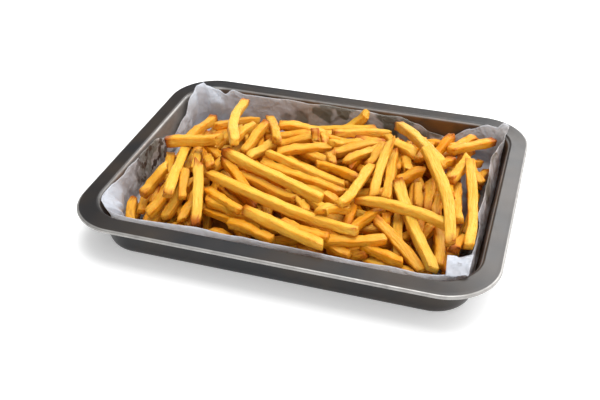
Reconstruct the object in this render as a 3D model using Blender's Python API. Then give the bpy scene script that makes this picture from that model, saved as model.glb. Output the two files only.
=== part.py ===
"""French fries heaped in a roasting tray lined with crumpled baking paper.

Frame: metres, +Z up, X along the tray's long side, origin at the middle of the tray's underside.
Nodes: tray (pressed steel sheet with a rolled rim), paper (the liner), fries (the heap, down to
the paper). The heap's outline is worked out by laying fries one after another on a height map.
"""

import math

import bpy
import bmesh
import numpy as np

MM = 0.001
GAP = 0.3                      # between pieces that touch, mm

# Tray, all in mm. "Inset" is measured inwards from the rim's outermost line.
TRAY_LENGTH = 330.0
TRAY_WIDTH = 250.0
RIM_CORNER_RADIUS = 41.0
RADIUS_LOSS = 0.63             # the corner radius shrinks by this for each mm of inset
SHEET = 0.7                    # thickness of the steel
RIM_Z = 33.0                   # centre of the rolled bead
BEAD = 1.7                     # radius of the rolled bead
FLANGE_TOP_Z = 35.9            # the flange is highest at its inner bend, and falls outwards
FLANGE_FALL = 1.2
WALL_TOP_INSET = 16.4          # inside face of the wall at its top
WALL_FOOT_INSET = 20.0         # inside face of the wall just above the floor
WALL_TOP_Z = 33.4
WALL_FOOT_Z = 4.2
FOOT_BEND = 3.6                # the wall's bend into the floor
CORNER_STEPS = 8

# Paper liner, mm.
PAPER = 0.45                   # thicker than real baking paper, so that it is a sound solid
PAPER_FOLD = 2.2               # how far its crumples stand in from the wall
PAPER_SIDE_STEPS = 13          # points along each side

# Rows of the paper: distance in from the wall, height above the floor, share of the crumples;
# then up the wall: share of the full height, of the crumples and of the lean.
PAPER_FOOT = ((13.0, 0.0, 0.0), (7.0, 0.5, 0.0), (3.2, 2.6, 0.3), (1.3, 8.0, 0.6))
PAPER_WALL = ((0.5, 0.9, 0.1), (0.78, 1.0, 0.4), (0.93, 0.7, 0.75), (1.0, 0.5, 1.0))

# Where the paper's free edge runs: place round the tray (0 to 1 along the near side, 1 to 2 up the
# right side, 2 to 3 back along the far side, 3 to 4 down the left side), height, lean inwards.
PAPER_EDGE = (
    (0.00, 37.6, 0.0), (0.12, 38.4, -1.0), (0.30, 41.5, -1.0), (0.45, 39.5, -0.6), (0.70, 37.4, 0.0),
    (0.93, 36.8, 0.6), (1.02, 35.5, 9.0), (1.12, 34.0, 7.5), (1.30, 33.0, 8.5), (1.50, 34.5, 6.5),
    (1.72, 34.0, 8.0), (1.90, 36.0, 5.0), (2.00, 41.5, -2.5), (2.09, 38.0, 1.0), (2.20, 22.0, 3.0),
    (2.34, 28.0, 2.5), (2.60, 30.5, 1.5), (2.85, 32.0, 1.5), (2.96, 38.0, 2.0), (3.02, 42.5, 0.5),
    (3.14, 35.0, 5.0), (3.28, 20.0, 5.0), (3.42, 14.0, 2.5), (3.56, 30.0, 2.0), (3.75, 34.0, 1.5),
    (3.90, 36.5, 0.4),
)

# Heap of fries, mm.
SEED = 4
FRY_THICK = (6.2, 7.8)
FRY_LENGTH = (58.0, 16.0)      # mean and spread
FRY_LENGTH_LIMITS = (30.0, 100.0)
MAP_CELL = 2.0
MAP_HALF = (150.0, 112.0)
HEAP_HALF = (140.6, 100.6)     # half sides of the heap's outline at its widest
HEAP_CORNER = (0.105, 0.2)     # how far the outline's corners are pulled in, along x and y
HEAP_CELLS = (130, 94)         # fine cells, thinned out afterwards
HEAP_SHARE_KEPT = 0.19         # of the heap's triangles, after thinning
HEAP_CREST = 54.0
HEAP_EDGE = {"near": 34.0, "far": 9.0, "left": 22.0, "right": 30.0}
HEAP_EDGE_LIMITS = (9.0, 26.0)
HEAP_SHOULDER = 52.0           # width of the slope down to the edge
DOME_MIDDLE = 15.0             # x of the highest place
DOME_FALL = (7.0, 6.0)         # how far the dome falls towards the sides, and to near and far
HOLLOWS = ((-132.0, 60.0, 26.0, 40.0, 14.0), (-136.0, -92.0, 18.0, 26.0, 14.0))  # x, y, widths, depth
CORE_DEPTH = 26.0              # the filled core stops this far under the heap's outline
UNDER_LAYER = 15.0             # the first fries stop this far under it
UPPER_LAYER = 9.0
WALL_HALF = (143.0, 103.0)     # half sides of the space between the walls
WALL_RADIUS = 26.0
WALL_MAP = (3.0, 35.0, 4.5)    # height of the floor and the wall in the map, width of the wall's rise
SOFTEN = 1.5                   # how far a fry's long edges are rounded down
SAG = (0.45, 5.0)              # a fry sags over a gap by this share of it, up to this much
STEEPEST = 0.38                # steepest rest of a fry
UNDERSIDE = ((8.0, 0.998), (SHEET + GAP + PAPER + GAP, 0.925))   # heights and shares of the outline

# The long fries on top: centre x, y, heading in degrees, length, rise of the far end.
TOP_FRIES = (
    (-106, -2, 39, 48, 2), (-101, -40, -79, 62, 0), (-74, -64, -75, 66, 0), (-65, 4, 100, 64, 6),
    (-46, 37, 124, 45, 2), (11, 61, 17, 60, 0), (28, 55, 24, 52, 0), (112, 60, 42, 56, 4),
    (-30, -62, -16, 82, 0), (22, -72, -7, 72, 0), (1, -24, -17, 70, 0), (130, -16, -83, 92, 0),
    (-17, -42, -23, 98, 0), (78, -80, -35, 46, 0), (92, -50, -60, 66, 0), (66, -40, 8, 56, -3),
    (117, -40, -66, 66, -4), (78, 28, 121, 70, 3),
)


def clear_scene():
    for item in list(bpy.data.objects):
        bpy.data.objects.remove(item, do_unlink=True)


def material(name, colour, roughness, metallic=0.0):
    made = bpy.data.materials.new(name)
    made.use_nodes = True
    shader = made.node_tree.nodes["Principled BSDF"]
    shader.inputs["Base Color"].default_value = (*colour, 1.0)
    shader.inputs["Roughness"].default_value = roughness
    shader.inputs["Metallic"].default_value = metallic
    return made


def skin(rows, cap_first=False, cap_last=False, closed=True):
    """Quads between successive rows of points; the ends can be closed with a flat face."""
    bm = bmesh.new()
    made = [[bm.verts.new([c * MM for c in p]) for p in row] for row in rows]
    count = len(made[0])
    for low, high in zip(made, made[1:]):
        for k in range(count if closed else count - 1):
            n = (k + 1) % count
            bm.faces.new((low[k], low[n], high[n], high[k]))
    if cap_first:
        bm.faces.new(made[0][::-1])
    if cap_last:
        bm.faces.new(made[-1])
    return bm


def add_node(name, bm, finish, smooth_angle=None):
    mesh = bpy.data.meshes.new(name)
    bmesh.ops.recalc_face_normals(bm, faces=bm.faces)
    bm.to_mesh(mesh)
    bm.free()
    mesh.materials.append(finish)
    if smooth_angle:
        mesh.shade_smooth()
        mesh.set_sharp_from_angle(angle=math.radians(smooth_angle))
    made = bpy.data.objects.new(name, mesh)
    bpy.context.collection.objects.link(made)
    return made


def outline(inset, side_steps=1):
    """The tray's rounded rectangle at an inset, as rows of x, y and the place round the tray."""
    half_x, half_y = TRAY_LENGTH / 2 - inset, TRAY_WIDTH / 2 - inset
    radius = RIM_CORNER_RADIUS - RADIUS_LOSS * inset
    corners = ((1, -1, -90), (1, 1, 0), (-1, 1, 90), (-1, -1, 180))
    arcs = []
    for sx, sy, start in corners:
        turn = np.radians(start + np.linspace(0, 90, CORNER_STEPS + 1))
        arcs.append(np.c_[sx * (half_x - radius) + radius * np.cos(turn),
                          sy * (half_y - radius) + radius * np.sin(turn)])
    points, place = [], []
    for k, arc in enumerate(arcs):
        before = arcs[k - 1][-1]
        side = np.linspace(0, 1, side_steps + 1)[1:-1, None]
        points += [before + (arc[0] - before) * side, arc]
    points = np.concatenate(points)
    # The place runs from 0 at the near-left corner; each corner's middle is a whole number.
    x, y = points.T / np.array([[half_x], [half_y]])
    near, right, far = -y >= np.abs(x), x >= np.abs(y), y >= np.abs(x)
    place = np.select([near, right, far], [(x + 1) / 2, 1 + (y + 1) / 2, 2 + (1 - x) / 2], 3 + (1 - y) / 2)
    return points, place


def wall_inset(z):
    """Inset of the wall's inside face at a height."""
    share = (np.asarray(z, float) - WALL_FOOT_Z) / (WALL_TOP_Z - WALL_FOOT_Z)
    return WALL_FOOT_INSET + (WALL_TOP_INSET - WALL_FOOT_INSET) * np.clip(share, 0, 1)


def make_tray():
    wall = SHEET * 1.01
    floor_inset = WALL_FOOT_INSET + FOOT_BEND
    outside = [
        (floor_inset, 0.0), (floor_inset - 2.2, 0.4), (WALL_FOOT_INSET - 0.1, 1.7),
        (WALL_FOOT_INSET - wall, WALL_FOOT_Z), (WALL_TOP_INSET - wall, WALL_TOP_Z),
        (WALL_TOP_INSET - wall - 0.4, WALL_TOP_Z + 1.1), (WALL_TOP_INSET - wall - 1.2, FLANGE_TOP_Z - SHEET - 0.1),
        (WALL_TOP_INSET - wall - 2.6, FLANGE_TOP_Z - SHEET), (2 * BEAD + 0.2, FLANGE_TOP_Z - SHEET - FLANGE_FALL),
    ]
    # The sheet curls down and round into a bead at the rim.
    turn = np.radians(np.linspace(-8, -278, 10))
    bead = [(BEAD + BEAD * math.cos(a), RIM_Z + BEAD * math.sin(a)) for a in turn]
    inside = [
        (2 * BEAD + 0.1, FLANGE_TOP_Z - FLANGE_FALL), (WALL_TOP_INSET - 3.4, FLANGE_TOP_Z),
        (WALL_TOP_INSET - 1.6, FLANGE_TOP_Z - 0.2), (WALL_TOP_INSET - 0.4, FLANGE_TOP_Z - 1.1),
        (WALL_TOP_INSET, WALL_TOP_Z), (WALL_FOOT_INSET, WALL_FOOT_Z), (WALL_FOOT_INSET + 0.5, 2.3),
        (WALL_FOOT_INSET + 1.7, 1.1), (floor_inset, SHEET),
    ]
    rows = []
    for inset, z in outside + bead + inside:
        points, _ = outline(inset)
        rows.append(np.c_[points, np.full(len(points), z)])
    bm = skin(rows, cap_first=True, cap_last=True)
    return add_node("tray", bm, material("tray_steel", (0.085, 0.083, 0.085), 0.38, 0.85), 35)


def paper_edge(place):
    """Height and lean of the paper's free edge at a place, smoothly between the named places."""
    stations = np.array(PAPER_EDGE)
    stations = np.vstack([stations[-1] - (4, 0, 0), stations, stations[0] + (4, 0, 0)])
    k = np.clip(np.searchsorted(stations[:, 0], place) - 1, 0, len(stations) - 2)
    share = (place - stations[k, 0]) / (stations[k + 1, 0] - stations[k, 0])
    share = (share * share * (3 - 2 * share))[:, None]
    return (stations[k] + (stations[k + 1] - stations[k]) * share)[:, 1:].T


def crumple(place, phase):
    """A wave between 0 and 1 that runs round the tray."""
    turn = place * math.pi / 2
    wave = np.sin(11 * turn + phase) + 0.6 * np.sin(23 * turn + 2.1 * phase) + 0.4 * np.sin(37 * turn + phase)
    return 0.5 + 0.25 * wave


def make_paper():
    foot, place = outline(wall_inset(0), PAPER_SIDE_STEPS)
    height, lean = paper_edge(place)
    inner, _ = outline(wall_inset(0) + 10.0, PAPER_SIDE_STEPS)
    inward = (inner - foot) / 10.0     # one mm of inset, at each point
    base = SHEET + GAP
    made = []
    for away, rise, fold in PAPER_FOOT:
        z = base + rise
        inset = away + wall_inset(z) - wall_inset(0) + fold * PAPER_FOLD * crumple(place, z)
        made.append(np.c_[foot + inward * inset[:, None], np.full(len(foot), z)])
    for share, fold, lean_share in PAPER_WALL:
        z = height * share
        in_lean = np.where(lean > 0, lean * lean_share, lean * (share == 1.0))
        inset = wall_inset(z) - wall_inset(0) + GAP + 0.25 + in_lean + fold * PAPER_FOLD * crumple(place, 9 * share)
        made.append(np.c_[foot + inward * inset[:, None], z])
    bm = skin(made, cap_first=True)
    node = add_node("paper", bm, material("baking_paper", (0.62, 0.62, 0.64), 0.55))
    thicken = node.modifiers.new("thickness", "SOLIDIFY")
    thicken.thickness = PAPER * MM
    thicken.offset = -1.0
    thicken.use_even_offset = False
    return node


# The heap: a height map in mm, on which fries are laid.
map_x = np.arange(-MAP_HALF[0], MAP_HALF[0] + 0.1, MAP_CELL)
map_y = np.arange(-MAP_HALF[1], MAP_HALF[1] + 0.1, MAP_CELL)


def beyond(x, y, half_x, half_y, radius):
    """Distance outside a rounded rectangle, negative inside it."""
    qx, qy = np.abs(x) - half_x + radius, np.abs(y) - half_y + radius
    outer = np.hypot(np.maximum(qx, 0), np.maximum(qy, 0))
    return outer + np.minimum(np.maximum(qx, qy), 0) - radius


def heap_outline(x, y):
    """The height that the heap reaches: a dome that falls to its own height at each wall."""
    half_x, half_y = WALL_HALF
    toward = {
        "near": np.clip(-y / half_y, 0, 1) ** 2, "far": np.clip(y / half_y, 0, 1) ** 2,
        "left": np.clip(-x / half_x, 0, 1) ** 3, "right": np.clip(x / half_x, 0, 1) ** 3,
    }
    total = sum(toward.values()) + 0.001
    edge = sum(share * HEAP_EDGE[name] for name, share in toward.items()) / total
    dome = HEAP_CREST - DOME_FALL[0] * ((x - DOME_MIDDLE) / half_x) ** 2 - DOME_FALL[1] * (y / half_y) ** 2
    share = np.clip(-beyond(x, y, half_x, half_y, WALL_RADIUS) / HEAP_SHOULDER, 0, 1)
    z = edge + (dome - edge) * share * (2 - share)
    for at_x, at_y, width_x, width_y, depth in HOLLOWS:
        z = z - depth * np.exp(-(((x - at_x) / width_x) ** 2 + ((y - at_y) / width_y) ** 2))
    return z


def cell_of(x, y):
    i = np.clip(np.round((x + MAP_HALF[0]) / MAP_CELL).astype(int), 0, len(map_x) - 1)
    j = np.clip(np.round((y + MAP_HALF[1]) / MAP_CELL).astype(int), 0, len(map_y) - 1)
    return i, j


def height_at(heights, x, y):
    """The map between its cells, after softening the steps from cell to cell."""
    padded = np.pad(heights, 1, mode="edge")
    across = (padded[:-2] + 2 * padded[1:-1] + padded[2:]) / 4
    soft = (across[:, :-2] + 2 * across[:, 1:-1] + across[:, 2:]) / 4
    fx, fy = (x + MAP_HALF[0]) / MAP_CELL, (y + MAP_HALF[1]) / MAP_CELL
    i, j = np.floor(fx).astype(int), np.floor(fy).astype(int)
    a, b = fx - i, fy - j
    near = soft[i, j] * (1 - a) + soft[i + 1, j] * a
    far = soft[i, j + 1] * (1 - a) + soft[i + 1, j + 1] * a
    return near * (1 - b) + far * b


def fry_line(fry, count):
    """Points along a fry: how far along, x, y, and its heading's cosine and sine."""
    along = np.linspace(-0.5, 0.5, count) * fry["length"]
    cos, sin = math.cos(fry["heading"]), math.sin(fry["heading"])
    bow = fry["bend"] * (0.5 - (2 * along / fry["length"]) ** 2)
    return along, fry["x"] + cos * along - sin * bow, fry["y"] + sin * along + cos * bow, cos, sin


def rest_on(heights, fry):
    """The straight line on which a fry comes to rest, and what is under it."""
    along, x, y, cos, sin = fry_line(fry, 17)
    side = fry["thick"] * 0.42
    under = np.max([heights[cell_of(x - sin * o, y + cos * o)] for o in (-side, 0, side)], axis=0)
    low, high = np.nonzero((along[:, None] < 0) & (along[None, :] >= 0))
    span = along[high] - along[low]
    touch = (under[low] * along[high] - under[high] * along[low]) / span
    k = touch.argmax()
    slope = (under[high[k]] - under[low[k]]) / span[k]
    held = float(np.clip(slope, -STEEPEST, STEEPEST))
    return (under - held * along).max(), held, slope, along, under


def lay(heights, fry):
    """Lays a fry on the map: it rests as a stick would, sags a little between, and adds its top."""
    start, slope, _, along, under = rest_on(heights, fry)
    line = start + slope * along
    sagged = line - np.minimum(SAG[0] * (line - under), SAG[1])
    ratio = 2 * along / fry["length"]
    curve = np.polynomial.polynomial.polyfit(ratio, sagged, 3)
    short = under - np.polynomial.polynomial.polyval(ratio, curve)
    curve[0] += np.sort(short)[-2:].mean() - 0.4
    curve[1] += fry["rise"] / 2
    curve[0] += fry["rise"] / 5
    along, x, y, cos, sin = fry_line(fry, int(fry["length"] / 1.2))
    top = np.polynomial.polynomial.polyval(2 * along / fry["length"], curve) + fry["thick"]
    for across in np.arange(-fry["thick"] / 2, fry["thick"] / 2 + 0.1, 1.2):
        rounded = SOFTEN * (abs(across) > fry["thick"] / 2 - 1)
        np.maximum.at(heights, cell_of(x - sin * across, y + cos * across), top - rounded)


def usual_heading(x, y):
    """Fries at the left and right run front to back, those in the middle from side to side."""
    left, right = np.clip((-x - 45) / 25, 0, 1), np.clip((x - 45) / 25, 0, 1)
    far = np.clip((y - 10) / 25, 0, 1)
    middle = (1 - left) * (1 - right)
    return math.radians(middle * (10 * far - 22 * (1 - far)) - 80 * left - 80 * right)


def fill(heights, rng, level, tries):
    """Lays loose fries where the map is furthest under the level, until it is reached."""
    for _ in range(tries):
        best, best_need = None, -4.0
        for _ in range(26):
            fry = {
                "x": rng.uniform(-1, 1) * HEAP_HALF[0], "y": rng.uniform(-1, 1) * HEAP_HALF[1], "rise": 0.0,
                "length": float(np.clip(rng.normal(*FRY_LENGTH), *FRY_LENGTH_LIMITS)),
                "thick": rng.uniform(*FRY_THICK), "bend": rng.normal(0, 1.8),
            }
            fry["heading"] = usual_heading(fry["x"], fry["y"]) + rng.normal(0, 0.42)
            _, x, y, _, _ = fry_line(fry, 17)
            if beyond(x, y, *HEAP_HALF, WALL_RADIUS).max() > -3:
                continue
            start, slope, tilt, along, _ = rest_on(heights, fry)
            if abs(tilt) > 1.1 * STEEPEST:
                continue
            short = level(x, y) - (start + slope * along + fry["thick"])
            need = short.mean() - 0.5 * short.std()
            if need > best_need:
                best, best_need = fry, need
        if best:
            lay(heights, best)


def heap_heights():
    x, y = np.meshgrid(map_x, map_y, indexing="ij")
    floor_z, wall_z, wall_run = WALL_MAP
    from_wall = beyond(x, y, *WALL_HALF, WALL_RADIUS)
    wall = floor_z + (wall_z - floor_z) * np.clip(from_wall / wall_run, 0, 1)
    core = np.where(from_wall < -7, heap_outline(x, y) - CORE_DEPTH, 0)
    heights = np.maximum(wall, core)
    rng = np.random.default_rng(SEED)
    fill(heights, rng, lambda x, y: heap_outline(x, y) - UNDER_LAYER, 260)
    fill(heights, rng, lambda x, y: heap_outline(x, y) - UPPER_LAYER, 90)
    for x, y, heading, length, rise in TOP_FRIES:
        lay(heights, {"x": x, "y": y, "heading": math.radians(heading), "length": length,
                      "thick": FRY_THICK[1], "bend": 0.0, "rise": rise})
    return heights


def make_fries():
    heights = heap_heights()
    # A grid over the tray whose outer edge is a rounded rectangle: x = half length * u *
    # root(1 - corner * v^6), and the same for y with u and v exchanged and a larger corner.
    u, v = np.meshgrid(np.linspace(-1, 1, HEAP_CELLS[0] + 1), np.linspace(-1, 1, HEAP_CELLS[1] + 1), indexing="ij")
    x = HEAP_HALF[0] * u * np.sqrt(1 - HEAP_CORNER[0] * v ** 6)
    y = HEAP_HALF[1] * v * np.sqrt(1 - HEAP_CORNER[1] * u ** 6)
    z = height_at(heights, x, y)
    edge = np.maximum(np.abs(u), np.abs(v)) > 0.999
    z[edge] = np.clip(z[edge], *HEAP_EDGE_LIMITS)
    bm = bmesh.new()
    top = [[bm.verts.new((a * MM, b * MM, c * MM)) for a, b, c in zip(*row)] for row in zip(x, y, z)]
    for a, b in zip(top, top[1:]):
        for k in range(len(a) - 1):
            bm.faces.new((a[k], b[k], b[k + 1], a[k + 1]))
    ring = ([row[0] for row in top] + top[-1][1:] + [row[-1] for row in top[-2::-1]] + top[0][-2:0:-1])
    for drop_to, share in UNDERSIDE:
        below = [bm.verts.new((p.co.x * share, p.co.y * share, drop_to * MM)) for p in ring]
        for k in range(len(ring)):
            n = (k + 1) % len(ring)
            bm.faces.new((ring[k], ring[n], below[n], below[k]))
        ring = below
    bm.faces.new(ring)
    node = add_node("fries", bm, material("fried_potato", (0.78, 0.47, 0.10), 0.45))
    thin_out = node.modifiers.new("thin_out", "DECIMATE")
    thin_out.ratio = HEAP_SHARE_KEPT
    return node


clear_scene()
make_tray()
make_paper()
make_fries()
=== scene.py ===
import bpy
import math
import numpy as np
from mathutils import Matrix, Vector
from numpy.polynomial.polynomial import polyfit, polyval


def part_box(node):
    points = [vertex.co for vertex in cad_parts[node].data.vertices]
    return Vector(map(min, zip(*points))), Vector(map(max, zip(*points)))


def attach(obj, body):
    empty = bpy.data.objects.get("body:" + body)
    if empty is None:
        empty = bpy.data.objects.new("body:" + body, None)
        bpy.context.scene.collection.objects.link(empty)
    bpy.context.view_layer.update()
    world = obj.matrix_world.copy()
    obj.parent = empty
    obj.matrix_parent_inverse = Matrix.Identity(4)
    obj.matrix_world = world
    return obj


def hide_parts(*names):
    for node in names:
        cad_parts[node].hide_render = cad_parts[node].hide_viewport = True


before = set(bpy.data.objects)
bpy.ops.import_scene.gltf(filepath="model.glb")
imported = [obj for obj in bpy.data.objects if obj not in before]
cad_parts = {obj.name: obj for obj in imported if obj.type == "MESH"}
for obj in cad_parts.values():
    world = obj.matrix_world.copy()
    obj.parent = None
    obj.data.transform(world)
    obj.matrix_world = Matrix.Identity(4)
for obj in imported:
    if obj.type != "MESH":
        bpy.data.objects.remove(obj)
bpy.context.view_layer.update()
mm = 0.001
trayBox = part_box("tray")
trayLength, trayWidth, trayTop = [(high - low) / mm for low, high in zip(*trayBox)]
print("frame loaded, tray", round(trayLength), "x", round(trayWidth), "mm")


# meshes and their values

def addPiece(name, points, faces, finish, node=None):
    # points in mm, faces as rows of point numbers
    mesh = bpy.data.meshes.new(name)
    mesh.from_pydata((np.asarray(points) * mm).tolist(), [], [list(map(int, face)) for face in faces])
    mesh.shade_smooth()
    mesh.materials.append(finish)
    piece = bpy.data.objects.new(name, mesh)
    bpy.context.collection.objects.link(piece)
    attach(piece, "root")
    if node:
        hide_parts(node)
    return piece


def gridFaces(rows, columns, closed=False, start=0):
    # face (i, j) joins points (i, j), (i, j + 1), (i + 1, j + 1), (i + 1, j); (i, j) is i * columns + j
    i, j = np.meshgrid(np.arange(rows - 1), np.arange(columns if closed else columns - 1), indexing="ij")
    i, j = i.ravel(), j.ravel()
    after, row, below = (j + 1) % columns, start + i * columns, start + (i + 1) * columns
    return np.c_[row + j, row + after, below + after, below + j]


def setValues(piece, name, values):
    # one number for each point, which the material reads by name
    layer = piece.data.attributes.new(name, "FLOAT", "POINT")
    layer.data.foreach_set("value", np.asarray(values, dtype=np.float32).ravel())


def eased(t):
    # 3 t^2 - 2 t^3, which is level at 0 and 1
    return t * t * (3 - 2 * t)


def softNoise(u, v, seed, wrap=256):
    # value noise: random numbers at whole u and v, eased between them; it repeats after "wrap" steps of u
    table = np.random.default_rng(seed).random((257, 257))
    iu, iv = np.floor(u).astype(int), np.floor(v).astype(int)
    fu, fv = eased(u - iu), eased(v - iv)
    a, b, c, d = iu % wrap, (iu + 1) % wrap, iv % 256, (iv + 1) % 256
    low = table[a, c] * (1 - fu) + table[b, c] * fu
    high = table[a, d] * (1 - fu) + table[b, d] * fu
    return low * (1 - fv) + high * fv


# materials

def node(tree, kind, values=None, **settings):
    # a shader node: "values" go to its inputs, the rest to its own settings
    made = tree.nodes.new("ShaderNode" + kind)
    for key, value in settings.items():
        setattr(made, key, value)
    for key, value in (values or {}).items():
        made.inputs[key].default_value = value
    return made


def mathNode(tree, operation, a, b=None, c=None, clamp=False):
    # numbers are set on the sockets, everything else is linked to them
    made = node(tree, "Math", operation=operation, use_clamp=clamp)
    for socket, value in zip(made.inputs, (a, b, c)):
        if isinstance(value, (int, float)):
            socket.default_value = value
        elif value is not None:
            tree.links.new(value, socket)
    return made.outputs["Value"]


def timesAdd(tree, a, b, c=0.0, clamp=False):
    # a * b + c
    return mathNode(tree, "MULTIPLY_ADD", a, b, c, clamp)


def mixColour(tree, share, a, b):
    # a (1 - share) + b share; a Mix node's sockets share their names, so the colours are picked by kind
    made = node(tree, "Mix", data_type="RGBA")
    colours = [s for s in made.inputs if s.type == "RGBA"]
    for socket, value in ((made.inputs[0], share), (colours[0], a), (colours[1], b)):
        if isinstance(value, (int, float)):
            socket.default_value = value
        elif isinstance(value, tuple):
            socket.default_value = (*value, 1)
        else:
            tree.links.new(value, socket)
    return [s for s in made.outputs if s.type == "RGBA"][0]


def makePatches():
    # noise that rises from 0 to 1 between two limits, eased
    group = bpy.data.node_groups.new("patches", "ShaderNodeTree")
    for label in ("Vector", "Scale", "Detail", "From", "To", "Mask"):
        kind = "NodeSocketVector" if label == "Vector" else "NodeSocketFloat"
        group.interface.new_socket(label, in_out="OUTPUT" if label == "Mask" else "INPUT", socket_type=kind)
    given, out = group.nodes.new("NodeGroupInput"), group.nodes.new("NodeGroupOutput")
    noise = node(group, "TexNoise", {"Roughness": 0.6})
    for key in ("Vector", "Scale", "Detail"):
        group.links.new(given.outputs[key], noise.inputs[key])
    spread = node(group, "MapRange", interpolation_type="SMOOTHSTEP")
    group.links.new(noise.outputs["Fac"], spread.inputs["Value"])
    group.links.new(given.outputs["From"], spread.inputs["From Min"])
    group.links.new(given.outputs["To"], spread.inputs["From Max"])
    group.links.new(spread.outputs["Result"], out.inputs["Mask"])
    return group


patchesGroup = makePatches()


def patches(tree, vector, scale, low, high, detail=3):
    # the group above, with its noise at a scale and its two limits
    made = node(tree, "Group", {"Scale": scale, "Detail": detail, "From": low, "To": high},
                node_tree=patchesGroup)
    tree.links.new(vector, made.inputs["Vector"])
    return made.outputs["Mask"]


def newMaterial(name, **values):
    # a material whose Principled sockets hold the given values
    made = bpy.data.materials.new(name)
    made.use_nodes = True
    shader = made.node_tree.nodes["Principled BSDF"]
    for key, value in values.items():
        shader.inputs[key].default_value = value
    return made, made.node_tree, shader


def objectPlace(tree):
    # the point's own place on the object, in metres
    return node(tree, "TexCoord").outputs["Object"]


def bumpFrom(tree, shader, height, strength, distance):
    # tilts the shader's normal by the slope of a height
    made = node(tree, "Bump", {"Strength": strength, "Distance": distance})
    tree.links.new(height, made.inputs["Height"])
    tree.links.new(made.outputs["Normal"], shader.inputs["Normal"])


def attribute(tree, name, output="Fac"):
    # a value or place set on the mesh itself
    return node(tree, "Attribute", attribute_name=name).outputs[output]


# the tray

tray = {
    "cornerRadius": 41.0, "radiusLoss": 0.63, "sheet": 0.7, "rimZ": 33.0, "bead": 1.7, "topInset": 16.4,
    "topZ": 33.4, "footInset": 20.0, "footZ": 4.2, "footBend": 3.6, "flangeFall": 1.2, "floorEdge": 8.0,
    "bendOutside": 2.4, "bendInside": 2.2, "steps": (12, 20), "beadSteps": 12,
    "coating": (0.0125, 0.0128, 0.0145), "baked": (0.036, 0.025, 0.017), "stain": (0.12, 0.055, 0.020),
    # the pale bare-metal colour: partly real wear, partly painted highlight on the bead and bend and painted
    # sheen on the left side
    "wornAndHighlight": (0.74, 0.72, 0.69), "roughness": 0.30, "leftSide": (3.35, 0.38),
}


def trayOutline(inset, steps):
    # rounded rectangle at an inset from the rim, corner centres one radius in from each side; place runs
    # round it: 0-1 near side, 1-2 right, 2-3 far, 3-4 left
    sideSteps, cornerSteps = steps
    halfX, halfY = trayLength / 2 - inset, trayWidth / 2 - inset
    radius = tray["cornerRadius"] - tray["radiusLoss"] * inset
    parts = []
    for sx, sy, start in ((1, -1, -90), (1, 1, 0), (-1, 1, 90), (-1, -1, 180)):
        turn = np.radians(start + np.linspace(0, 90, cornerSteps + 1))
        parts.append(np.c_[sx * (halfX - radius) + radius * np.cos(turn),
                           sy * (halfY - radius) + radius * np.sin(turn)])
    joined = []
    for k, arc in enumerate(parts):
        before = parts[k - 1][-1]
        joined += [before + (arc[0] - before) * np.linspace(0, 1, sideSteps + 1)[1:-1, None], arc]
    points = np.concatenate(joined)
    x, y = points[:, 0] / halfX, points[:, 1] / halfY
    place = np.select([-y >= np.abs(x), x >= np.abs(y), y >= np.abs(x)],
                      [(x + 1) / 2, 1 + (y + 1) / 2, 2 + (1 - x) / 2], 3 + (1 - y) / 2)
    return points, place


def wallInset(z):
    # the wall leans evenly from its foot to its top
    share = np.clip((np.asarray(z, float) - tray["footZ"]) / (tray["topZ"] - tray["footZ"]), 0, 1)
    return tray["footInset"] + (tray["topInset"] - tray["footInset"]) * share


def smoothProfile(corners, radius, steps=4):
    # each corner becomes a quadratic Bezier between the points one radius away on both sides
    corners = np.array(corners, float)
    out = [corners[:1]]
    for before, at, after in zip(corners, corners[1:], corners[2:]):
        a = at + (before - at) * min(0.45, radius / np.hypot(*(before - at)))
        b = at + (after - at) * min(0.45, radius / np.hypot(*(after - at)))
        t = np.linspace(0, 1, steps)[:, None]
        out.append(a * (1 - t) ** 2 + 2 * at * t * (1 - t) + b * t * t)
    return np.concatenate(out + [corners[-1:]])


def nearPlace(place, middle, half):
    # exp(-((place - middle) / half)^4): 1 along a stretch of the outline, falling to 0 beyond it
    return np.exp(-((place - middle) / half) ** 4)


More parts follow.
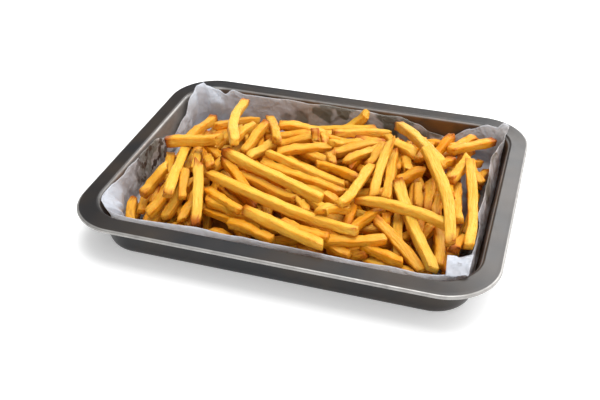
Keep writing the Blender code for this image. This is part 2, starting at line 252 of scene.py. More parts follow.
def makeTray(finish):
    # the sheet's profile (inset, height), up the outside, round the bead and down the inside, carried round
    # the outline
    top, wall, bead, fall = trayTop, tray["sheet"], tray["bead"], tray["flangeFall"]
    topInset, footInset = tray["topInset"], tray["footInset"]
    floorInset = footInset + tray["footBend"] + tray["floorEdge"]
    outside = smoothProfile([
        (floorInset, 0.0), (footInset + 0.9, 0.0), (footInset - wall, tray["footZ"]),
        (topInset - wall, tray["topZ"]), (topInset - wall - 1.6, top - wall),
        (2 * bead + 0.2, top - wall - fall)], tray["bendOutside"])
    turn = np.radians(np.linspace(-12, -275, tray["beadSteps"]))
    rolled = np.c_[bead + bead * np.cos(turn), tray["rimZ"] + bead * np.sin(turn)]
    inside = smoothProfile([
        (2 * bead + 0.1, top - fall), (2 * bead + 1.3, top - 0.88 * fall),
        (topInset - 4.4, top - 0.12 * fall), (topInset - 1.9, top + 0.1), (topInset, tray["topZ"] - 0.6),
        (footInset, tray["footZ"]), (footInset + 1.6, wall), (floorInset, wall)], tray["bendInside"])
    profile = np.concatenate([outside, rolled, inside])
    rows = []
    for inset, z in profile:
        points, place = trayOutline(inset, tray["steps"])
        rows.append(np.c_[points, np.full(len(points), z)])
    count = len(rows[0])
    ring = np.arange(count)
    faces = [*gridFaces(len(rows), count, closed=True), ring[::-1], (len(rows) - 1) * count + ring]
    piece = addPiece("roasting_tray", np.reshape(rows, (-1, 3)), faces, finish, "tray")
    # bare metal shows on the bead and the inner bend, partly real wear and partly a painted highlight where
    # they catch the light; fat has browned the inside, but the left side is scoured to bare metal, partly a
    # painted sheen
    inset, z = profile.T
    step = np.arange(len(profile))
    onBead = (inset < 0.95 * bead) & (z > tray["rimZ"] - 1.4)
    onBend = (np.hypot(inset - topInset + 0.5, z - top + 0.9) < 0.9) & (step > len(outside))
    onWall = (step > len(outside) + len(rolled)) & (z < tray["topZ"] + 0.3)
    onLeft = nearPlace(place, *tray["leftSide"])
    for name, mask, around in (("bareBeadAndHighlight", onBead, 1), ("bareBendAndHighlight", onBend, 0.55 + 0.45 * onLeft),
                               ("inside", onWall, 1 - 0.8 * onLeft), ("rubbedAndSheen", onWall, onLeft)):
        setValues(piece, name, (mask[:, None] * around * np.ones(count)).ravel())


def trayFinish():
    # dark coated steel
    made, tree, shader = newMaterial("tray_steel", IOR=1.5)
    place = objectPlace(tree)
    # baked-on clouds over the whole tray, brown drips on the inside of the wall
    cloud = patches(tree, place, 13, 0.38, 0.70)
    colour = mixColour(tree, cloud, tray["coating"], tray["baked"])
    drips = patches(tree, place, 34, 0.30, 0.62)
    stained = timesAdd(tree, attribute(tree, "inside"), drips)
    colour = mixColour(tree, stained, colour, tray["stain"])
    # bare metal = bead + bend + the scoured left side, thinned by small patches; partly wear, partly painted
    # highlight and sheen
    rub = patches(tree, place, 90, 0.25, 0.62, 5)
    bare = mathNode(tree, "MAXIMUM", timesAdd(tree, attribute(tree, "bareBeadAndHighlight"), 0.5),
                    timesAdd(tree, attribute(tree, "bareBendAndHighlight"), 0.95,
                             timesAdd(tree, attribute(tree, "rubbedAndSheen"), 0.2)))
    bare = timesAdd(tree, bare, timesAdd(tree, rub, 0.4, 0.6), clamp=True)
    colour = mixColour(tree, bare, colour, tray["wornAndHighlight"])
    tree.links.new(colour, shader.inputs["Base Color"])
    tree.links.new(bare, shader.inputs["Metallic"])
    smear = patches(tree, place, 60, 0.3, 0.8, 5)
    tree.links.new(timesAdd(tree, smear, 0.08, tray["roughness"] - 0.02), shader.inputs["Roughness"])
    fine = node(tree, "TexNoise", {"Scale": 900.0, "Detail": 2.0})
    tree.links.new(place, fine.inputs["Vector"])
    bumpFrom(tree, shader, fine.outputs["Fac"], 0.06, 0.0004)
    return made


makeTray(trayFinish())
print("tray made")


# the paper that lines it

paper = {
    "foldDepth": 2.8, "thickness": 0.12, "gap": 0.5, "lift": 0.3, "lap": 14.0, "ragged": 2.2,
    "steps": (110, 34), "rows": 30,   # along a side and round a corner, up the wall
    "white": (0.52, 0.565, 0.65), "beige": (0.33, 0.27, 0.215), "grease": (0.10, 0.095, 0.07),
    "speck": (0.05, 0.03, 0.02),
    # stretches where fat has seeped in, which on the far and right sides is also painted warm light bounced
    # from the fries: place, half length, strength; the second one is also specked
    "stainsAndBounceLight": ((2.42, 0.30, 1.0), (3.50, 0.17, 0.8), (1.55, 0.38, 0.8)),
    # place round the tray, height of the free edge, its lean inwards, and how far the sheet stands off the
    # wall halfway up
    "edge": ((0, 37.6, 0, 2), (0.12, 38.4, -1, 0), (0.30, 40, -1, 0), (0.45, 38.6, -0.6, 0),
             (0.70, 37.4, 0, 0), (0.93, 36.8, 0.6, 0), (1.02, 35.5, 8, 0), (1.12, 34.5, 6, 0),
             (1.25, 34.5, 5, 0), (1.31, 34.5, 5.5, 0), (1.39, 34, 9, 0), (1.48, 34.5, 7.5, 0),
             (1.60, 34, 8, 0), (1.80, 34, 10, 0), (1.87, 35.5, 6.5, 0), (1.91, 38.5, 1, 0),
             (1.945, 43.5, -5, 0), (1.99, 42, -2.5, 0), (2.06, 38, 0, 2), (2.11, 31, 1.5, 2),
             (2.17, 21, 3, 0), (2.22, 24, 4, 2), (2.27, 29.5, 3, 0), (2.34, 33, 1.5, 0),
             (2.60, 33.5, 0.8, 0), (2.84, 33, 1, 0), (2.885, 36.5, 1, 0), (2.91, 33.5, 6, 2),
             (2.935, 37, 4, 6), (2.97, 41.5, 1, 6), (3.03, 43, -2, 4), (3.055, 42.5, -1.5, 3),
             (3.10, 38.5, 2.5, 3), (3.20, 27, 4, 2), (3.31, 19, 2, 0), (3.38, 26, 0.8, 0),
             (3.46, 31.5, 0.2, 0), (3.62, 33.2, 0, 0), (3.76, 34, 0.6, 0), (3.86, 36.5, 0.4, 5),
             (3.93, 37.5, 0, 11), (3.98, 37.5, 0, 8)),
    # the corner folded in over the heap: front left, front right, back right, back left
    "tab": ((128.0, -107.0, 37.2), (143.0, -102.0, 38.0), (143.5, -84.0, 42.5), (126.0, -91.0, 43.5)),
}


def paperEdge(place):
    # height, lean and bulge, eased between the named places
    rows = np.array(paper["edge"])
    rows = np.vstack([rows[-1] - (4, 0, 0, 0), rows, rows[0] + (4, 0, 0, 0)])
    k = np.clip(np.searchsorted(rows[:, 0], place) - 1, 0, len(rows) - 2)
    t = eased((place - rows[k, 0]) / (rows[k + 1, 0] - rows[k, 0]))[:, None]
    return (rows[k] + (rows[k + 1] - rows[k]) * t)[:, 1:].T


def addThickness(piece):
    # gives a surface the sheet's thickness
    thicken = piece.modifiers.new("thickness", "SOLIDIFY")
    thicken.thickness = paper["thickness"] * mm
    thicken.offset = -1.0


def creases(u, v, seed, wrap=256):
    # |2 noise - 1|: 0 along sharp lines
    return np.abs(2 * softNoise(u, v, seed, wrap) - 1)


def makePaper(finish):
    # point(place, v) = foot outline moved inwards by the wall's slope, the folds, the lean and the bulge, at
    # a height that rises with v
    foot, place = trayOutline(wallInset(0), paper["steps"])
    inner, _ = trayOutline(wallInset(0) + 10.0, paper["steps"])
    inward = (inner - foot) / 10.0
    height, lean, bulge = paperEdge(place)
    height = height + paper["ragged"] * (softNoise(place * 16, 3.3, 5, 64) - 0.5)
    count, base, turn = len(foot), tray["sheet"] + paper["lift"], place * 30
    rows = []
    for away in np.linspace(paper["lap"], 1.5, 6):   # on the floor, out to the wall
        z = base + 2.0 * max(0.0, 1 - (away - 1.5) / 4) ** 2
        rows.append(np.c_[foot + inward * (away + 0.3), np.full(count, z)])
    for v in np.linspace(0.08, 1, paper["rows"]):   # up the wall
        z = base + 1.0 + (height - base - 1.0) * v
        broad = softNoise(turn, v * 3, 11, 120)
        sharp = creases(turn * 2.1 + 2 * v, v * 5, 12, 252)
        fine = creases(turn * 5 + 3 * v, v * 9, 13)
        crumple = 0.70 * broad + 0.32 * (1 - sharp) + 0.10 * (1 - fine)
        fold = (1 - 0.65 * v ** 3) * crumple * paper["foldDepth"] * min(1, v * 3)
        bend = np.where(lean > 0, lean * v ** 2.2, lean * v ** 7)
        stand = bulge * math.sin(math.pi * v ** 1.3) * (0.75 + 0.5 * broad)
        inset = wallInset(z) - wallInset(0) + paper["gap"] + fold + bend + stand
        rows.append(np.c_[foot + inward * inset[:, None], z])
    faces = [*gridFaces(len(rows), count, closed=True), np.arange(count)[::-1]]
    piece = addPiece("baking_paper", np.reshape(rows, (-1, 3)), faces, finish, "paper")
    # share of fat, with painted warm bounce light from the fries on the far and right sides
    soakedAndBounceLit = [strength * nearPlace(place, middle, half) for middle, half, strength in paper["stainsAndBounceLight"]]
    setValues(piece, "stained", np.tile(sum(soakedAndBounceLit), len(rows)))
    setValues(piece, "specked", np.tile(nearPlace(place, *paper["stainsAndBounceLight"][1][:2]), len(rows)))
    addThickness(piece)


def makeTab(finish):
    # point(u, v) = the flap's four corners blended both ways, arched by 2.2 sin(pi v) and crumpled
    u, v = np.meshgrid(np.linspace(0, 1, 22), np.linspace(0, 1, 26), indexing="ij")
    frontLeft, frontRight, backRight, backLeft = (np.array(corner) for corner in paper["tab"])
    u3, v3 = u[..., None], v[..., None]
    points = (frontLeft * (1 - u3) + frontRight * u3) * (1 - v3) + (backLeft * (1 - u3) + backRight * u3) * v3
    crumple = softNoise(u * 4, v * 4, 41) + 0.4 * creases(u * 9, v * 9, 42)
    points[..., 2] += 2.2 * np.sin(math.pi * v) + 1.6 * (crumple - 0.6) - 1.5 * np.sin(math.pi * u) * v ** 3
    points[..., 1] += 0.8 * (softNoise(u * 5, 2.0, 43) - 0.5) * v
    faces = gridFaces(*u.shape)
    piece = addPiece("paper_corner", points.reshape(-1, 3), faces, finish, "paper")
    setValues(piece, "stained", np.zeros(u.size))
    spot = 0.8 * np.exp(-((u - 0.55) ** 2 + (v - 0.5) ** 2) / 0.012)
    setValues(piece, "specked", spot.ravel())
    addThickness(piece)


def paperFinish():
    # white paper, beige and darker where fat has seeped in and, on the far and right sides, where warm light
    # bounced from the fries is painted, with spots and wrinkles
    made, tree, shader = newMaterial("baking_paper", **{
        "Roughness": 0.45, "IOR": 1.4, "Subsurface Weight": 0.4, "Subsurface Scale": 0.002,
        "Subsurface Radius": (1.0, 1.0, 1.0)})
    place = objectPlace(tree)
    stained, specked = attribute(tree, "stained"), attribute(tree, "specked")
    cloud = patches(tree, place, 26, 0.3, 0.72, 4)
    # beige share: fat and patches, with the painted warm bounce light
    soakedAndBounceLit = timesAdd(tree, cloud, 0.5, timesAdd(tree, stained, 0.65))
    soakedAndBounceLit = timesAdd(tree, soakedAndBounceLit, 0.85, clamp=True)
    colour = mixColour(tree, soakedAndBounceLit, paper["white"], paper["beige"])
    spots = patches(tree, place, 36, 0.50, 0.57, 2)
    spots = timesAdd(tree, spots, stained, clamp=True)
    colour = mixColour(tree, spots, colour, paper["grease"])
    dots = patches(tree, place, 115, 0.52, 0.60, 2)
    colour = mixColour(tree, timesAdd(tree, dots, specked, clamp=True), colour, paper["speck"])
    tree.links.new(colour, shader.inputs["Base Color"])
    # wrinkles: lines between cells of two sizes
    warp = node(tree, "TexNoise", {"Scale": 60.0, "Detail": 2.0})
    tree.links.new(place, warp.inputs["Vector"])
    moved = node(tree, "VectorMath", operation="MULTIPLY_ADD")
    tree.links.new(warp.outputs["Color"], moved.inputs[0])
    moved.inputs[1].default_value = (0.02, 0.02, 0.02)
    tree.links.new(place, moved.inputs[2])
    heights = []
    for scale in (85.0, 210.0):
        crease = node(tree, "TexVoronoi", {"Scale": scale})
        tree.links.new(moved.outputs["Vector"], crease.inputs["Vector"])
        heights.append(crease.outputs["Distance"])
    bumpFrom(tree, shader, timesAdd(tree, heights[1], 0.4, heights[0]), 0.45, 0.0025)
    return made


paperLook = paperFinish()
makePaper(paperLook)
makeTab(paperLook)
print("paper made")


# the fries

fries = {
    "seed": 11, "thick": (6.6, 8.0), "length": (58, 16), "lengthLimits": (30, 100), "wider": 1.08,
    "flatter": 0.88, "steepest": 0.38, "sag": (0.4, 3.0), "press": 2.5, "taper": 0.42,
    "topRings": 16, "lowerRings": 7,
    # the map that they are laid on, and how far their middles and ends may go
    "mapCell": 2.0, "mapHalf": (150, 112), "wallHalf": (143, 103), "floorZ": 3.0, "wallRise": 32.0,
    "wallFoot": 4.5, "reach": (139, 100), "topReach": (142, 104), "highest": 62,
    # the outline of the heap; a hollow is x, y, its two widths and its depth
    "crest": 48, "crestX": 15, "domeFall": (7, 6), "shoulder": 54,
    "edge": {"near": 29, "far": 9, "left": 20, "right": 26},
    "fullness": {"near": 1.0, "far": -0.15, "left": 0.8, "right": 1.0},
    "hollows": ((-132, 60, 26, 40, 12), (-136, -92, 18, 26, 10), (-45, 88, 34, 30, 5), (92, 92, 40, 26, -7)),
    # the loose fries under the top ones: tries, candidates for each, and the short ones along the walls
    "tries": 420, "candidates": 26, "wallTries": 130, "wallStrip": 14.0, "wallLength": 0.75,
    "underLayer": 8.0, "layerDepth": 7.2, "lowestLevel": 10.0, "coreDepth": 34.0, "coreInset": 26.0,
    # the rows of topFries are places at height levelZ; each mm above it moves a fry by "lean"
    "levelZ": 45.0, "lean": (0.44, -1.33),
    "pale": (0.79, 0.485, 0.066), "golden": (0.72, 0.26, 0.003), "toasted": (0.42, 0.105, 0.002),
    "brown": (0.12, 0.022, 0.002), "coreColours": ((0.26, 0.075, 0.005), (0.50, 0.18, 0.010)),
}

# the fries that lie on top, lowest first. Each row: x, y of one end, x, y of the other, width, tone from 0
# pale to 1 golden and, where they are set, bow, rise of the first end and browning of the two ends
topFries = (
    # left side
    (-118, 6, -110, -14, 6.6, 0.6, 0, 0, 0.8, 0.2), (-107, -72, -103, -98, 6.6, 0.7),
    (-73, -74, -71, -112, 6.8, 0.5), (-84, -60, -85, -112, 7.4, 0.4), (-96, -70, -99, -112, 7.6, 0.5),
    (-116, -28, -105, -60, 6.8, 0.5), (-92, -48, -80, -84, 6.6, 0.4), (-109, -46, -114, -89, 7.4, 0.3),
    (-64, -24, -75, -48, 7.4, 0.4), (-95, -17, -87, -44, 6.4, 0.2), (-91, -6, -71, -22, 6.6, 0.6),
    (-84, -20, -73, -38, 6.8, 0.3), (-109, 44, -111, -8, 7.2, 0.4, 0, 7, 0.9, 0.1),
    (-99, 26, -70, 52, 7, 0.5), (-65, 38, -72, 8, 7, 0.2),
    # far side
    (-43, 41, 10, 48, 7, 0.4), (-55, 43, -58, -8, 7, 0.3, 0, 4, 0.7, 0.1), (-42, 10, -8, 32, 7.4, 0.4),
    (-30, -2, 12, 22, 7, 0.4), (-2, 40, 4, 22, 6.6, 0.3), (-10, 40, -4, 24, 6.2, 0.4),
    (27, 82, 8, 59, 8, 0.3, 0, 7, 0.1, 0), (-26, 49, 41, 63, 7.4, 0.2), (5, 44, 54, 61, 7.4, 0.1, -1, 0),
    (8, 26, 36, 31, 6.8, 0.4), (32, -6, 48, 34, 6.8, 1, 0, 0, 0.6, 0.8),
    (12, 12, 50, 37, 7, 0.3, 0, 0, 0.5, 0.6), (27, 0, 51, 38, 6.6, 0.3), (12, 12, 18, -4, 6.6, 0.3),
    (5, -5, 44, -20, 7, 0.5),
    # right side, far
    (78, 57, 102, 52, 7, 0.6), (84, 60, 74, 34, 7, 0.8), (92, 52, 84, 22, 7, 0.6),
    (104, 68, 96, 28, 6.8, 0.9, 0, 8, 0.6, 0.3), (126, 70, 106, 50, 6.6, 0.5, 0, 5),
    (140, 38, 127, 24, 6.4, 0.5), (141, 72, 106, 42, 7, 0.5, 0, 8, 1, 0.1), (129, 26, 141, 4, 6.8, 0.5),
    (132, 10, 140, -28, 6.8, 0.5), (142, -42, 141, -62, 6.6, 0.5), (92, 30, 103, 13, 6.8, 0.3),
    (110, 32, 101, 13, 7, 0.6, 0, 2, 0.6, 0.2), (50, 34, 45, 2, 6.6, 0.4), (72, 24, 80, 1, 6.8, 0.1),
    (74, -12, 90, 6, 7.4, 0.6), (62, 28, 71, -40, 7, 0.3), (52, 40, 60, -40, 7, 0.1, -1, 0),
    (51, 52, 63, 41, 6.6, 0.4), (57, 44, 79, 27, 7.4, 0),
    # right side, near
    (90, -12, 98, -44, 6.6, 0.2), (98, -5, 106, -46, 6.8, 0.5), (110, -26, 112, -50, 6.6, 0.5),
    (112, 0, 116, -22, 6.4, 0.6), (120, 2, 128, -46, 6.8, 0.3),
    (122, 39, 112, -1, 7.2, 0.1, 0, 5, 0.1, 0.5), (112, -62, 107, -90, 6.6, 0.5),
    (103, -58, 106, -84, 6.6, 0.6), (143, -72, 131, -86, 6.6, 0.5), (118, -62, 128, -110, 7, 0.4),
    (124, 32, 143, -80, 7.2, 0.2, 3, 0), (49, -50, 52, -82, 6.4, 0.8), (70, -52, 56, -84, 6.8, 0.6),
    (76, -56, 79, -78, 6.6, 0.7), (68, -98, 102, -112, 6.8, 0.7), (38, -106, 64, -115, 6.8, 0.6),
    (36, -105, 83, -89, 7, 0.5, -3, 0),
    # middle and near side
    (-64, -88, -8, -106, 6.8, 0.6), (-34, -104, 4, -112, 6.6, 0.6), (-62, -81, 6, -101, 7, 0.5),
    (-66, -68, -30, -87, 6.8, 0.5), (2, -88, 42, -98, 7, 0.6), (-52, -28, -8, -46, 7, 0.5),
    (-50, -42, 6, -58, 7, 0.4), (-38, -18, 36, -41, 7, 0.4), (24, -47, 40, -56, 6.8, 0.5),
    (8, -58, 17, -73, 6.4, 0.1), (8, -56, 33, -68, 6.8, 0.1), (28, -70, 47, -56, 7, 0.3),
    (49, 0, 38, -55, 7, 0.2, 1, 0), (-38, -3, 36, -31, 7.4, 0.1, 1, 0), (-38, 16, -51, -15, 7.2, 0),
    (-58, 57, -34, 12, 7, 0.3, 0, 6, 0.7, 0.3), (-69, -20, -30, -65, 7, 0.7, 0, 0, 1, 0),
    (-29, -83, 41, -108, 7.4, 0.2), (-72, -48, 59, -86, 7.4, 0.1, -4, 0),
    (-107, -10, -89, -87, 7.2, 0.1, 0, 0, 0.1, 0.4), (-84, -33, -57, -114, 7.4, 0, 0, 0, 0.6, 0.9),
    (-123, -19, -84, 11, 9, 0.3, 0, 0, 1, 0), (-89, 73, -68, -1, 7.4, 0, -5, 16, 0.7, 0.1),
    (-71, -9, 24, -54, 7.4, 0, 1, 0, 1, 0.1), (69, -66, 118, -117, 7.2, 0.5, 1, 0, 0.5, 0.1),
    (72, -14, 122, -113, 7.8, 0, -2, 0), (51, -45, 121, -57, 7.2, 0.1, 3, 0, 0.5, 0.1),
    (57, 74, 98, 17, 8, 0.1, 1, 12, 0.6, 0), (86, 27, 131, -86, 7.8, 0.1, 6.5, 0, 0.1, 0.4),
)

mapX = np.arange(-fries["mapHalf"][0], fries["mapHalf"][0] + 0.1, fries["mapCell"])
mapY = np.arange(-fries["mapHalf"][1], fries["mapHalf"][1] + 0.1, fries["mapCell"])


def beyond(x, y, halfX, halfY, radius=26.0):
    # distance outside a rounded rectangle, negative inside it
    qx, qy = np.abs(x) - halfX + radius, np.abs(y) - halfY + radius
    return np.hypot(np.maximum(qx, 0), np.maximum(qy, 0)) + np.minimum(np.maximum(qx, qy), 0) - radius


def towardSides(x, y, values):
    # mean of the four sides' values, weighted by how far the point lies toward each
    halfX, halfY = fries["wallHalf"]
    toward = {"near": np.clip(-y / halfY, 0, 1) ** 2, "far": np.clip(y / halfY, 0, 1) ** 2,
              "left": np.clip(-x / halfX, 0, 1) ** 3, "right": np.clip(x / halfX, 0, 1) ** 3}
    return sum(share * values[name] for name, share in toward.items()) / (sum(toward.values()) + 0.001)


def heapOutline(x, y):
    # height = edge + (dome - edge) * s (1 + k (1 - s)); s runs from 0 at the wall to 1 at the shoulder and k
    # is the fullness; a hollow takes away depth * exp(-distance^2)
    halfX, halfY = fries["wallHalf"]
    edge = towardSides(x, y, fries["edge"])
    fallX, fallY = fries["domeFall"]
    dome = fries["crest"] - fallX * ((x - fries["crestX"]) / halfX) ** 2 - fallY * (y / halfY) ** 2
    s = np.clip(-beyond(x, y, halfX, halfY) / fries["shoulder"], 0, 1)
    z = edge + (dome - edge) * s * (1 + towardSides(x, y, fries["fullness"]) * (1 - s))
    for atX, atY, wideX, wideY, depth in fries["hollows"]:
        z = z - depth * np.exp(-(((x - atX) / wideX) ** 2 + ((y - atY) / wideY) ** 2))
    return z


def cellOf(x, y):
    # the map's cell under a point
    i = np.clip(np.round((x + fries["mapHalf"][0]) / fries["mapCell"]).astype(int), 0, len(mapX) - 1)
    j = np.clip(np.round((y + fries["mapHalf"][1]) / fries["mapCell"]).astype(int), 0, len(mapY) - 1)
    return i, j


def fryLine(fry, count):
    # points along the fry seen from above: a straight line that bows by bow * (1/2 - r^2), r from -1 to 1
    along = np.linspace(-0.5, 0.5, count) * fry["length"]
    cos, sin = math.cos(fry["heading"]), math.sin(fry["heading"])
    bow = fry["bow"] * (0.5 - (2 * along / fry["length"]) ** 2)
    return along, fry["x"] + cos * along - sin * bow, fry["y"] + sin * along + cos * bow, cos, sin


def restOn(heights, fry):
    # the straight line that touches the map on both sides of the fry's middle: its start, the slope as held
    # and as found, the places along it and the heights under them
    along, x, y, cos, sin = fryLine(fry, 17)
    side = fry["width"] * 0.42
    under = np.max([heights[cellOf(x - sin * o, y + cos * o)] for o in (-side, 0, side)], axis=0)
    low, high = np.nonzero((along[:, None] < 0) & (along[None, :] >= 0))
    span = along[high] - along[low]
    touch = (under[low] * along[high] - under[high] * along[low]) / span
    k = touch.argmax()
    slope = (under[high[k]] - under[low[k]]) / span[k]
    held = float(np.clip(slope, -fries["steepest"], fries["steepest"]))
    return (under - held * along).max(), held, slope, along, under


def rested(heights, fry):
    # rests it as a stick, then lets it sag a little: height = cubic of r, r from -1 to 1 along the fry
    start, slope, _, along, under = restOn(heights, fry)
    line = start + slope * along
    sagged = line - np.minimum(fries["sag"][0] * (line - under), fries["sag"][1])
    ratio = 2 * along / fry["length"]
    curve = polyfit(ratio, sagged, 3)
    short = under - polyval(ratio, curve)
    curve[0] += np.sort(short)[-2:].mean() - 0.4 + fry.get("rise", 0) / 2
    curve[1] -= fry.get("rise", 0) / 2
    first, last = fry.get("press", (0, 0))
    return curve - np.array([(first + last) / 2, (last - first) / 2, 0, 0])


def layFry(heights, fry):
    # keeps its height curve and adds its top, lower by 1.5 mm along its sides, to the map
    fry["curve"] = curve = rested(heights, fry)
    along, x, y, cos, sin = fryLine(fry, int(fry["length"] / 1.2))
    top = polyval(2 * along / fry["length"], curve) + fry["thick"]
    for across in np.arange(-fry["width"] / 2, fry["width"] / 2 + 0.1, 1.2):
        rounded = 1.5 * (abs(across) > fry["width"] / 2 - 1)
        np.maximum.at(heights, cellOf(x - sin * across, y + cos * across), top - rounded)
    return fry


def usualHeading(x, y):
    # across the heap in the middle, up and down it at both ends
    left, right = np.clip((-x - 45) / 25, 0, 1), np.clip((x - 45) / 25, 0, 1)
    far = np.clip((y - 10) / 25, 0, 1)
    middle = (1 - left) * (1 - right)
    return math.radians(middle * (10 * far - 22 * (1 - far)) - 80 * left - 80 * right)


def looseFry(rng, alongWall):
    # a fry anywhere on the map, or one that is shorter and lies along the nearest wall
    thick = rng.uniform(*fries["thick"])
    fry = {"x": rng.uniform(-1, 1) * fries["reach"][0], "y": rng.uniform(-1, 1) * fries["reach"][1],
           "length": float(np.clip(rng.normal(*fries["length"]), *fries["lengthLimits"])), "thick": thick,
           "width": thick * rng.uniform(0.9, 1.15), "bow": rng.normal(0, 1.8), "tone": rng.beta(1.8, 2.2)}
    fry["heading"] = usualHeading(fry["x"], fry["y"]) + rng.normal(0, 0.42)
    if alongWall:
        toSide, toEnd = fries["reach"][1] - abs(fry["y"]), fries["reach"][0] - abs(fry["x"])
        if min(toSide, toEnd) > fries["wallStrip"]:
            return None
        fry["length"] *= fries["wallLength"]
        fry["heading"] = rng.normal(0, 0.16) + (math.pi / 2 if toEnd < toSide else 0)
    return fry


def fillWith(heights, rng, level, tries, alongWall=False):
    # each try lays the candidate that lies furthest under the level, less half the spread along it
    laid = []
    for _ in range(tries):
        best, bestNeed = None, -4.0
        for _ in range(fries["candidates"]):
            fry = looseFry(rng, alongWall)
            if not fry:
                continue
            _, x, y, _, _ = fryLine(fry, 17)
            if beyond(x, y, *fries["reach"]).max() > -3:
                continue
            start, slope, tilt, along, _ = restOn(heights, fry)
            if abs(tilt) > 1.1 * fries["steepest"]:
                continue
            short = level(x, y) - (start + slope * along + fry["thick"])
            need = short.mean() - 0.5 * short.std()
            if need > bestNeed:
                best, bestNeed = fry, need
        if best:
            laid.append(layFry(heights, best))
    return laid


def endsAt(places, level):
    # end = place + (its height - levelZ) * lean, kept within reach
    reach = np.array(fries["topReach"])
    return np.clip(places + (level - fries["levelZ"])[:, None] * np.array(fries["lean"]), -reach, reach)


def usualEnds(row):
    # the ends and heights where the fry's middle lies 4 mm under the heap's outline, found in 12 rounds
    places, rise = np.array([row[0:2], row[2:4]], float), np.array([row[7] if len(row) > 7 else 0, 0])
    height, ends = np.array([fries["levelZ"]] * 2), places
    for _ in range(12):
        height = height + 0.4 * (heapOutline(ends[:, 0], ends[:, 1]) - 4 + rise - height)
        ends = endsAt(places, height)
    return ends, height


def topLayers():
    # how many of the top fries lie over each cell, softened by four averages of 5 cells each way
    layers = np.zeros((len(mapX), len(mapY)))
    for row in topFries:
        (x1, y1), (x2, y2) = usualEnds(row)[0]
        length = math.hypot(x2 - x1, y2 - y1)
        t = np.linspace(0, 1, int(length) + 2)[:, None]
        across = np.arange(-3.0, 3.1, 1.0)[None, :]
        x = x1 + (x2 - x1) * t - (y2 - y1) / length * across
        y = y1 + (y2 - y1) * t + (x2 - x1) / length * across
        covered = np.zeros(layers.shape, bool)
        covered[cellOf(x, y)] = True
        layers += covered
    for _ in range(4):
        for axis in (0, 1):
            layers = sum(np.roll(layers, k, axis) for k in range(-2, 3)) / 5
    return layers


def settleTop(heights, row):
    # looks for the pair of end heights that the fry comes to rest at, in steps of 4 mm and then finer
    width, tone, bow, rise, *burnt = row[4:] if len(row) > 6 else (*row[4:], 0, 0)
    places = np.array([row[0:2], row[2:4]], float)
    width = width * fries["wider"]
    thick = width * fries["flatter"]
    usual = usualEnds(row)[1]

    def attempt(level):
        # the fry with its ends at these heights, and how far off it would rest
        at = endsAt(places, level)
        step = at[1] - at[0]
        fry = {"x": at[:, 0].mean(), "y": at[:, 1].mean(), "heading": math.atan2(step[1], step[0]),
               "length": float(np.hypot(*step)), "thick": thick, "width": width, "bow": bow, "rise": rise,
               "tone": tone}
        curve = rested(heights, fry)
        over = polyval(np.array([-1, 1]), curve) + thick / 2 - level
        fry["press"] = np.clip(over, 0, fries["press"])   # pressed a little into those it crosses
        return np.abs(over - fry["press"]).max() + 0.04 * np.abs(level - usual).sum(), fry

    best, bestGap, found, step = None, 1e9, usual, 4.0
    for reachSteps in (5, 1, 1, 1):
        middle = found
        around = range(-reachSteps, reachSteps + 1)
        for a, b in ((a, b) for a in around for b in around):
            level = np.minimum(middle + step * np.array([a, b]), fries["highest"])
            gap, fry = attempt(level)
            if gap < bestGap:
                best, bestGap, found = fry, gap, level
        step /= 2
    if burnt:
        best["burnt"] = burnt
    return best


def layHeap():
    # a map of floor, walls and core takes loose fries up to a level under the outline, which is lower where
    # many top fries lie, and then the top fries
    x, y = np.meshgrid(mapX, mapY, indexing="ij")
    fromWall = beyond(x, y, *fries["wallHalf"])
    core = np.where(fromWall < 2 - fries["coreInset"], heapOutline(x, y) - fries["coreDepth"], 2.0)
    wall = fries["wallRise"] * np.clip(fromWall / fries["wallFoot"], 0, 1)
    heights = np.maximum(fries["floorZ"] + wall, core)
    rng = np.random.default_rng(fries["seed"])
    layers = topLayers()

    def level(x, y):
        room = fries["underLayer"] + fries["layerDepth"] * np.clip(layers[cellOf(x, y)] - 0.8, 0, 3)
        return np.maximum(heapOutline(x, y) - room, fries["lowestLevel"])

    laid = fillWith(heights, rng, level, fries["wallTries"], alongWall=True)
    laid += fillWith(heights, rng, level, fries["tries"])
    return laid, [layFry(heights, settleTop(heights, row)) for row in topFries]


def frySection(full):
    # a rounded square from -1 to 1: three points round each corner and one in the middle of each side,
    # or only two points round each corner on the plain fries below
    corner, arc = 0.34, np.radians([4, 45, 86] if full else [12, 78])
    quarter = np.c_[1 - corner + corner * np.cos(arc), 1 - corner + corner * np.sin(arc)]
    if full:
        quarter = np.r_[[[0.97, 0.0]], quarter]
    turned = [quarter @ np.array([[c, s], [-s, c]]) for c, s in ((1, 0), (0, 1), (-1, 0), (0, -1))]
    return np.concatenate(turned)


def eachFry(laid, key):
    # one number for each fry, as a column
    return np.array([fry[key] for fry in laid])[:, None]


